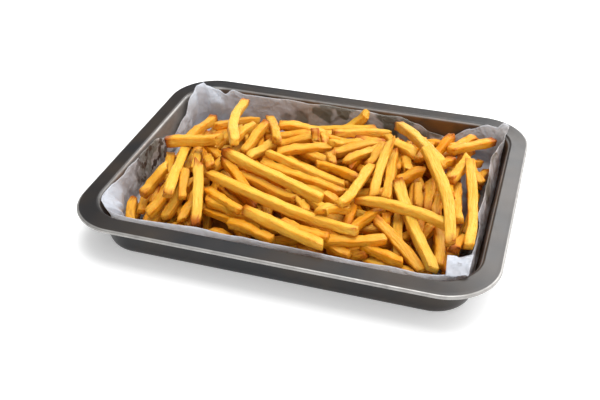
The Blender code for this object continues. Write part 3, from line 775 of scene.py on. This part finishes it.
def fryPaths(laid, r, rng):
    # centre = place + along * heading + bow across it, height from the curve, and two small waves; then the
    # directions forward, sideways and up, rolled a little round the fry
    n, along = len(laid), r * eachFry(laid, "length") / 2
    bend = eachFry(laid, "bow") * (0.5 - r ** 2)
    cos, sin = np.cos(eachFry(laid, "heading")), np.sin(eachFry(laid, "heading"))
    curve = np.array([fry["curve"] for fry in laid])
    height = sum(curve[:, k:k + 1] * r ** k for k in range(4)) + eachFry(laid, "thick") / 2
    centre = np.stack([eachFry(laid, "x") + cos * along - sin * bend,
                       eachFry(laid, "y") + sin * along + cos * bend, height], axis=2)
    phase = rng.uniform(0, 6.3, (n, 4))
    centre[..., 2] += 0.35 * np.sin(2.6 * r + phase[:, :1])
    sway = 0.3 * np.sin(3.1 * r + phase[:, 1:2]) + 0.15 * np.sin(7.5 * r + phase[:, 2:3])
    centre[..., 0] -= sin * sway
    centre[..., 1] += cos * sway
    forward = np.gradient(centre, axis=1)
    forward /= np.linalg.norm(forward, axis=2, keepdims=True)
    side = np.cross(np.array([0, 0, 1.0]), forward)
    side /= np.linalg.norm(side, axis=2, keepdims=True)
    up = np.cross(forward, side)
    roll = (rng.normal(0, 0.16, (n, 1)) + rng.normal(0, 0.08, (n, 1)) * r)[..., None]
    side, up = side * np.cos(roll) + up * np.sin(roll), up * np.cos(roll) - side * np.sin(roll)
    return centre, forward, side, up, phase[:, 3:]


def fryGirth(laid, r, section, taperShare, phase, rng):
    # width and thickness = section * half size * slow wave * tapered ends * lumps; slant grows at the ends
    n, length, half = len(laid), eachFry(laid, "length"), eachFry(laid, "width") / 2
    wave = 1 + 0.05 * np.sin(r * rng.uniform(2, 6, (n, 1)) + phase) + rng.normal(0, 0.05, (n, 1)) * r
    taper = rng.beta(1.1, 2.6, (n, 2)) * fries["taper"] * taperShare
    narrowed = 1 - np.where(r < 0, taper[:, :1], taper[:, 1:]) * np.exp(-(1 - np.abs(r)) * length / 2 / 5)
    ends = np.where(np.abs(r) > 0.9999, 0.8, 1.0) * narrowed
    skew = rng.normal(0, 0.45, (n, 2))
    atEnd = np.clip((np.abs(r) - 1) * 8 + 1, 0, 1) * np.where(r < 0, skew[:, :1], skew[:, 1:])
    sx, sy = section[:, 0], section[:, 1]
    # lumps: three waves that run along and round each fry
    turn = np.arctan2(sy, sx)
    along = (r * length / 2)[..., None]
    lump = sum(size * np.sin(along * pitch + times * turn + rng.uniform(0, 6.3, (n, 1, 1)))
               for size, pitch, times in ((0.22, 0.33, 2), (0.16, 0.62, -1), (0.14, 0.95, 3)))
    dent = 1 - 0.07 * (1 - np.abs(sx * sy)) * rng.uniform(0.0, 1, (n, 1, 1)) + lump / half[..., None]
    wide = (half * wave * ends)[..., None] * sx * dent
    tall = (eachFry(laid, "thick") / 2 * wave * ends)[..., None] * sy * dent
    return wide, tall, (atEnd * half)[..., None] * sx


def fryFaces(n, rings, around):
    # rings of four-sided faces, closed by three-sided ones to a point in the middle of each end
    body = rings * around
    ring, after = np.arange(around), np.roll(np.arange(around), -1)
    first = np.c_[np.full(around, body), after, ring]
    last = np.c_[np.full(around, body + 1), body - around + ring, body - around + after]
    faces = []
    for one in (gridFaces(rings, around, closed=True), np.r_[first, last]):
        every = one[None] + np.arange(n)[:, None, None] * (body + 2)
        faces += [*every.reshape(-1, one.shape[1])]
    return faces


def makeFries(name, laid, finish, seed, rings, full):
    # point = centre(r) + side * wide + up * tall + forward * slant, r from -1 to 1 along each fry
    rng = np.random.default_rng(seed)
    n, section, length = len(laid), frySection(full), eachFry(laid, "length")
    around = len(section)
    bevel = 1.5 / length
    r = np.linspace(-1, 1, rings - 2)[None, :] * np.ones((n, 1))
    r = np.c_[r[:, :1], r[:, :1] + bevel, r[:, 1:-1], r[:, -1:] - bevel, r[:, -1:]]
    centre, forward, side, up, phase = fryPaths(laid, r, rng)
    wide, tall, slant = fryGirth(laid, r, section, 0.4 if full else 1, phase, rng)
    body = (centre[:, :, None] + side[:, :, None] * wide[..., None] + up[:, :, None] * tall[..., None]
            + forward[:, :, None] * slant[..., None]).reshape(n, -1, 3)
    caps = np.stack([centre[:, 0] - forward[:, 0] * 0.35, centre[:, -1] + forward[:, -1] * 0.35], axis=1)
    points = np.concatenate([body, caps], axis=1)
    stride = points.shape[1]
    piece = addPiece(name, points.reshape(-1, 3), fryFaces(n, rings, around), finish, "fries")

    def spread(values):
        # one value for each ring becomes one for each point, the two end points last
        return np.concatenate([np.repeat(values, around, axis=1), values[:, :1], values[:, -1:]], axis=1)

    endTones = np.array([fry.get("burnt", rng.beta(1.0, 3.6, 2)) for fry in laid])
    # edge: 1 round the corners of the section, 0 mid-face; the material uses it for browning and for painted
    # shade where fries meet
    edge = np.clip((np.abs(section[:, 0] * section[:, 1]) - 0.1) / 0.75, 0, 1)
    setValues(piece, "tone", np.repeat([fry["tone"] for fry in laid], stride))
    setValues(piece, "nearEnd", spread(np.clip(1 - (1 - np.abs(r)) * length / 2 / 9.0, 0, 1)))
    setValues(piece, "burnt", spread(np.where(r < 0, endTones[:, :1], endTones[:, 1:])))
    setValues(piece, "edge", np.tile(np.r_[np.tile(edge, rings), 0, 0], n))
    # the pattern's own place on each fry, in mm, drawn out four times along it
    own, along = np.zeros((n, stride, 3)), r * length / 2
    own[:, :-2, 0] = np.repeat(along / 4, around, axis=1)
    own[:, :-2, 1:] = np.stack([wide, tall], axis=3).reshape(n, -1, 2)
    own[:, -2:, 0] = along[:, [0, -1]] / 4
    own += rng.uniform(0, 400, (n, 1, 3))
    grain = piece.data.attributes.new("ownPlace", "FLOAT_VECTOR", "POINT")
    grain.data.foreach_set("vector", own.ravel())


def fryFinish():
    # fried potato: pale faces, golden sides and edges, brown ends; the paler upward faces and golden sides
    # are partly painted light from above, the golden edges partly painted shade where fries meet
    made, tree, shader = newMaterial("fried_potato", **{
        "IOR": 1.4, "Specular IOR Level": 0.3, "Subsurface Weight": 0.25, "Subsurface Scale": 0.004,
        "Subsurface Radius": (1.0, 0.42, 0.08)})
    own = attribute(tree, "ownPlace", "Vector")
    tone, nearEnd, burnt, edge = (attribute(tree, name) for name in ("tone", "nearEnd", "burnt", "edge"))
    streak = patches(tree, own, 0.28, 0.34, 0.68, 4)
    mottle = patches(tree, objectPlace(tree), 110, 0.34, 0.68, 4)
    # golden share = streaks + patches + edges + the fry's own tone; the edges' share is painted shade where
    # fries meet
    deep = timesAdd(tree, streak, 0.34, timesAdd(tree, tone, 0.85, -0.12))
    deep = timesAdd(tree, mottle, 0.22, deep)
    deep = timesAdd(tree, edge, 0.26, deep)
    # painted light: faces that lie upwards are paler and the sides more golden, as if lit from above
    facing = node(tree, "SeparateXYZ")
    tree.links.new(node(tree, "TexCoord").outputs["Normal"], facing.inputs[0])
    deep = timesAdd(tree, mathNode(tree, "MAXIMUM", facing.outputs["Z"], 0.0), -0.26,
                    mathNode(tree, "ADD", deep, 0.15), clamp=True)
    body = mixColour(tree, deep, fries["pale"], fries["golden"])
    blotch = patches(tree, own, 0.5, 0.42, 0.68, 4)
    # browning = end * burnt + blotches on the edges + tone, sharpened between two limits
    browning = timesAdd(tree, timesAdd(tree, nearEnd, burnt), 1.2,
                        timesAdd(tree, blotch, timesAdd(tree, edge, 0.34, 0.1)))
    browning = timesAdd(tree, timesAdd(tree, nearEnd, edge), 0.12, browning)
    browning = timesAdd(tree, tone, 0.16, browning)
    toasted = timesAdd(tree, mathNode(tree, "SUBTRACT", browning, 0.26), 1.9, clamp=True)
    dark = timesAdd(tree, mathNode(tree, "SUBTRACT", browning, 0.9), 2.2, clamp=True)
    colour = mixColour(tree, toasted, body, fries["toasted"])
    colour = mixColour(tree, dark, colour, fries["brown"])
    tree.links.new(colour, shader.inputs["Base Color"])
    tree.links.new(timesAdd(tree, mottle, 0.2, 0.30), shader.inputs["Roughness"])
    # fine wrinkles along the fry over small blisters
    wrinkle = node(tree, "TexNoise", {"Scale": 0.8, "Detail": 3.0})
    tree.links.new(own, wrinkle.inputs["Vector"])
    height = timesAdd(tree, streak, 0.8, wrinkle.outputs["Fac"])
    bumpFrom(tree, shader, height, 0.55, 0.0012)
    return made


def makeCore(finish):
    # the filled middle of the heap, under the outline and closed below: x = half length * u, y = half width *
    # v, each drawn in at the corners by sqrt(1 - 0.12 t^6), t the other one
    u, v = np.meshgrid(np.linspace(-1, 1, 70), np.linspace(-1, 1, 52), indexing="ij")
    halfX, halfY = np.array(fries["wallHalf"]) - fries["coreInset"]
    x, y = halfX * u * np.sqrt(1 - 0.12 * v ** 6), halfY * v * np.sqrt(1 - 0.12 * u ** 6)
    z = np.maximum(heapOutline(x, y) - fries["coreDepth"], 2.4)
    z = np.where(np.maximum(np.abs(u), np.abs(v)) > 0.999, 2.2, z)
    rows, columns = x.shape
    points = np.c_[x.ravel(), y.ravel(), z.ravel()]
    under = points * (1, 1, 0) + (0, 0, 1.7)
    ring = np.r_[np.arange(columns), np.arange(1, rows) * columns + columns - 1,
                 (rows - 1) * columns + np.arange(columns - 2, -1, -1), np.arange(rows - 2, 0, -1) * columns]
    count, after = rows * columns, np.roll(ring, -1)
    wall = np.c_[ring, after, count + after, count + ring]
    faces = np.r_[gridFaces(rows, columns)[:, ::-1], wall, gridFaces(rows, columns, start=count)]
    addPiece("heap_core", np.r_[points, under], faces, finish, "fries")


def coreFinish():
    # the shaded fries deep in the heap
    made, tree, shader = newMaterial("core_shadow", Roughness=0.7)
    mottle = patches(tree, objectPlace(tree), 90, 0.3, 0.7)
    tree.links.new(mixColour(tree, mottle, *fries["coreColours"]), shader.inputs["Base Color"])
    return made


lower, upper = layHeap()
print("heap laid:", len(lower), "fries below,", len(upper), "on top")
fryLook = fryFinish()
makeCore(coreFinish())
makeFries("fries_below", lower, fryLook, 21, fries["lowerRings"], False)
makeFries("fries_on_top", upper, fryLook, 22, fries["topRings"], True)
print("fries made")


# floor, light and camera

studio = {
    "yaw": 18.3, "pitch": 35.4, "roll": -0.9, "lens": 51.84, "distance": 0.7331,
    "target": (-0.0117, 0.0009, 0.0), "floor": (0.9, 0.9, 0.9), "glow": 0.3, "world": 1.34,
    "bright": (0.85, 0.0, 0.5),
    "room": ((0.0, 0.08), (0.42, 0.15), (0.62, 0.75), (1.0, 1.0)),   # share along "bright", grey
    "lamps": (("softbox_back", (0.70, 1.25, 1.2), (1.7, 1.0), 19),   # name, place, size, energy
              ("softbox_top", (0.10, 0.0, 1.7), (0.9, 0.9), 16)),
}


def makeCamera():
    # looks along "back" at the target, turned about its own axis by the roll
    yaw, pitch, roll = (math.radians(studio[key]) for key in ("yaw", "pitch", "roll"))
    back = Vector((math.sin(yaw) * math.cos(pitch), -math.cos(yaw) * math.cos(pitch), math.sin(pitch)))
    right = Vector((math.cos(yaw), math.sin(yaw), 0))
    up = back.cross(right)
    across = right * math.cos(roll) + up * math.sin(roll)
    upright = up * math.cos(roll) - right * math.sin(roll)
    data = bpy.data.cameras.new("camera")
    data.lens, data.sensor_width, data.clip_start = studio["lens"], 36, 0.05
    camera = bpy.data.objects.new("camera", data)
    camera.matrix_world = Matrix.Translation(Vector(studio["target"]) + back * studio["distance"]) @ Matrix(
        (across, upright, back)).transposed().to_4x4()
    bpy.context.collection.objects.link(camera)
    bpy.context.scene.camera = camera


def makeRoom():
    # a room that is brighter on the right: brightness follows the direction's share along "bright"
    world = bpy.data.worlds.new("studio")
    world.use_nodes = True
    tree = world.node_tree
    along = node(tree, "VectorMath", operation="DOT_PRODUCT")
    tree.links.new(node(tree, "TexCoord").outputs["Generated"], along.inputs[0])
    along.inputs[1].default_value = studio["bright"]
    shade = node(tree, "ValToRGB")
    band = shade.color_ramp
    while len(band.elements) < len(studio["room"]):
        band.elements.new(0.5)
    for element, (position, level) in zip(band.elements, studio["room"]):
        element.position = position
        element.color = (level, level, level, 1)
    tree.links.new(timesAdd(tree, along.outputs["Value"], 0.5, 0.5), shade.inputs["Fac"])
    tree.links.new(shade.outputs["Color"], tree.nodes["Background"].inputs["Color"])
    tree.nodes["Background"].inputs["Strength"].default_value = studio["world"]
    bpy.context.scene.world = world
    bpy.context.scene.view_settings.view_transform = "Standard"


def makeLamps():
    # flat lamps that face the middle of the floor
    for name, location, size, energy in studio["lamps"]:
        light = bpy.data.lights.new(name, "AREA")
        light.shape, light.energy = "RECTANGLE", energy
        light.size, light.size_y = size
        lamp = bpy.data.objects.new(name, light)
        lamp.location = location
        lamp.rotation_euler = (-Vector(location)).to_track_quat("-Z", "Y").to_euler()
        bpy.context.collection.objects.link(lamp)


def makeFloor():
    # a pale square that glows a little
    mesh = bpy.data.meshes.new("floor")
    mesh.from_pydata([(-4, -4, 0), (4, -4, 0), (4, 4, 0), (-4, 4, 0)], [], [(0, 1, 2, 3)])
    made, _, _ = newMaterial("floor", **{
        "Base Color": (*studio["floor"], 1), "Roughness": 0.9, "Emission Color": (1, 1, 1, 1),
        "Emission Strength": studio["glow"]})
    mesh.materials.append(made)
    floor = bpy.data.objects.new("floor", mesh)
    bpy.context.collection.objects.link(floor)


makeCamera()
makeRoom()
makeLamps()
makeFloor()
print("studio made")
